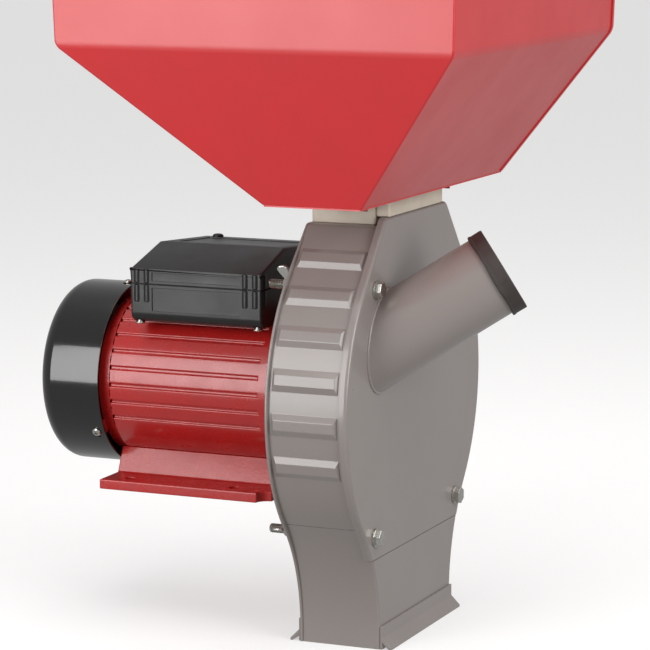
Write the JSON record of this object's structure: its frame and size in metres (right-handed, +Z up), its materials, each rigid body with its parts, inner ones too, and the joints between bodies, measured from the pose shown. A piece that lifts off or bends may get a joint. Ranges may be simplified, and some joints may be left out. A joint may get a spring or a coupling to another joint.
{
  "type": "electric hammer mill",
  "caption": "Compact electric hammer mill for grain and corn cobs: hopper over a round ribbed chamber, side cob tube, flange-mounted motor with terminal box, open outlet below.",
  "frame": {"origin": "middle of the discharge outlet at floor level, straight under the shaft axis", "axes": "+X along the motor shaft towards the front cover, -Y towards the cob tube's foot, +Z up towards the hopper"},
  "size_m": [0.4379, 0.411, 0.62],
  "materials": {
    "hopper_paint": "satin gloss red paint on sheet steel",
    "motor_paint": "hammered red paint on cast metal",
    "casing_paint": "semi-gloss warm grey paint on sheet steel",
    "collar_paint": "satin beige paint",
    "gate_paint": "satin dark red paint",
    "black_paint": "gloss black paint on sheet steel",
    "box_plastic": "satin black moulded plastic",
    "button_plastic": "gloss black moulded plastic",
    "cap_rubber": "matt brown-black rubber",
    "seal_rubber": "matt black rubber",
    "zinc": "bright zinc plated steel",
    "mill_steel": "bare mill steel",
    "bearing_steel": "ground bearing steel",
    "lamination": "laminated iron core",
    "copper": "varnished copper wire",
    "capacitor_shell": "plain plastic shell"
  },
  "bodies": {
    "machine": {"rear_plate": "casing_paint", "casing_wall": "casing_paint", "outlet_duct": "casing_paint", "outlet_lips": "casing_paint", "sieve": "mill_steel", "rear_sieve_seat": "mill_steel", "feed_collar_rear": "collar_paint", "feed_collar_front": "collar_paint", "gate_rails": "collar_paint", "hopper_floor": "hopper_paint", "hopper_left_panel": "hopper_paint", "hopper_right_panel": "hopper_paint", "hopper_rear_panel": "hopper_paint", "hopper_front_panel": "hopper_paint", "hopper_rim": "hopper_paint", "hopper_screws": "zinc", "motor_housing": "motor_paint", "motor_foot": "motor_paint", "stator_core": "lamination", "stator_windings": "copper", "front_bracket": "motor_paint", "rear_bracket": "motor_paint", "fan_cover": "black_paint", "motor_screws": "zinc", "shaft_seal": "seal_rubber", "bearing_outer_rings": "bearing_steel", "box_base": "box_plastic", "box_lid": "box_plastic", "box_gasket": "seal_rubber", "box_screws": "zinc", "capacitors": "capacitor_shell", "terminal_block": "capacitor_shell", "cable_gland": "box_plastic", "overload_switch": "box_plastic", "switch_body": "box_plastic"},
    "rotor": {"motor_shaft": "mill_steel", "rotor_core": "lamination", "bearing_rings_and_balls": "bearing_steel", "cooling_fan": "box_plastic", "rotor_discs": "mill_steel", "hub_spacer": "mill_steel", "shaft_nut": "zinc", "hammer_pins": "mill_steel", "pin_spacers_and_clips": "mill_steel"},
    "hammer_pair_1": {"hammers_1": "mill_steel"},
    "hammer_pair_2": {"hammers_2": "mill_steel"},
    "hammer_pair_3": {"hammers_3": "mill_steel"},
    "hammer_pair_4": {"hammers_4": "mill_steel"},
    "cover": {"front_cover": "casing_paint", "cob_tube": "casing_paint", "front_sieve_seat": "mill_steel", "cover_bolts": "zinc"},
    "cap": {"tube_cap": "cap_rubber"},
    "gate": {"slide_gate": "gate_paint"},
    "wing_nut_1": {"wing_nut_1": "zinc"},
    "wing_nut_2": {"wing_nut_2": "zinc"},
    "wing_nut_3": {"wing_nut_3": "zinc"},
    "wing_nut_4": {"wing_nut_4": "zinc"},
    "button": {"overload_button": "button_plastic"},
    "rocker": {"switch_rocker": "button_plastic"}
  },
  "joints": [
    {"name": "rotor_spin", "type": "hinge", "parent": "machine", "child": "rotor", "pos_m": [0, 0, 0.207], "axis": [1, 0, 0], "continuous": true},
    {"name": "hammer_swing_1", "type": "hinge", "parent": "rotor", "child": "hammer_pair_1", "pos_m": [0, 0, 0.281], "axis": [1, 0, 0], "continuous": true},
    {"name": "hammer_swing_2", "type": "hinge", "parent": "rotor", "child": "hammer_pair_2", "pos_m": [0, -0.074, 0.207], "axis": [1, 0, 0], "continuous": true},
    {"name": "hammer_swing_3", "type": "hinge", "parent": "rotor", "child": "hammer_pair_3", "pos_m": [0, 0, 0.133], "axis": [1, 0, 0], "continuous": true},
    {"name": "hammer_swing_4", "type": "hinge", "parent": "rotor", "child": "hammer_pair_4", "pos_m": [0, 0.074, 0.207], "axis": [1, 0, 0], "continuous": true},
    {"name": "cover_lift_off", "type": "slide", "parent": "machine", "child": "cover", "axis": [1, 0, 0], "range_m": [0, 0.13]},
    {"name": "cap_pull", "type": "slide", "parent": "cover", "child": "cap", "axis": [0.7728, 0.3603, 0.5225], "range_m": [0, 0.04]},
    {"name": "gate_slide", "type": "slide", "parent": "machine", "child": "gate", "axis": [0, 1, 0], "range_m": [-0.046, 0.018]},
    {"name": "wing_nut_turn_1", "type": "hinge", "parent": "machine", "child": "wing_nut_1", "pos_m": [-0.0408, -0.093, 0.3075], "axis": [1, 0, 0], "continuous": true},
    {"name": "wing_nut_turn_2", "type": "hinge", "parent": "machine", "child": "wing_nut_2", "pos_m": [-0.0408, 0.093, 0.3075], "axis": [1, 0, 0], "continuous": true},
    {"name": "wing_nut_turn_3", "type": "hinge", "parent": "machine", "child": "wing_nut_3", "pos_m": [-0.0408, -0.09299, 0.099], "axis": [1, 0, 0], "continuous": true},
    {"name": "wing_nut_turn_4", "type": "hinge", "parent": "machine", "child": "wing_nut_4", "pos_m": [-0.0408, 0.09299, 0.099], "axis": [1, 0, 0], "continuous": true},
    {"name": "button_press", "type": "slide", "parent": "machine", "child": "button", "axis": [0, 0, 1], "range_m": [-0.002, 0], "stiffness_N_per_m": 900, "springref_m": 0.0005},
    {"name": "rocker_tilt", "type": "hinge", "parent": "machine", "child": "rocker", "pos_m": [-0.15, 0.0752, 0.2825], "axis": [0, 0, 1], "range_deg": [0, 16]}
  ]
}
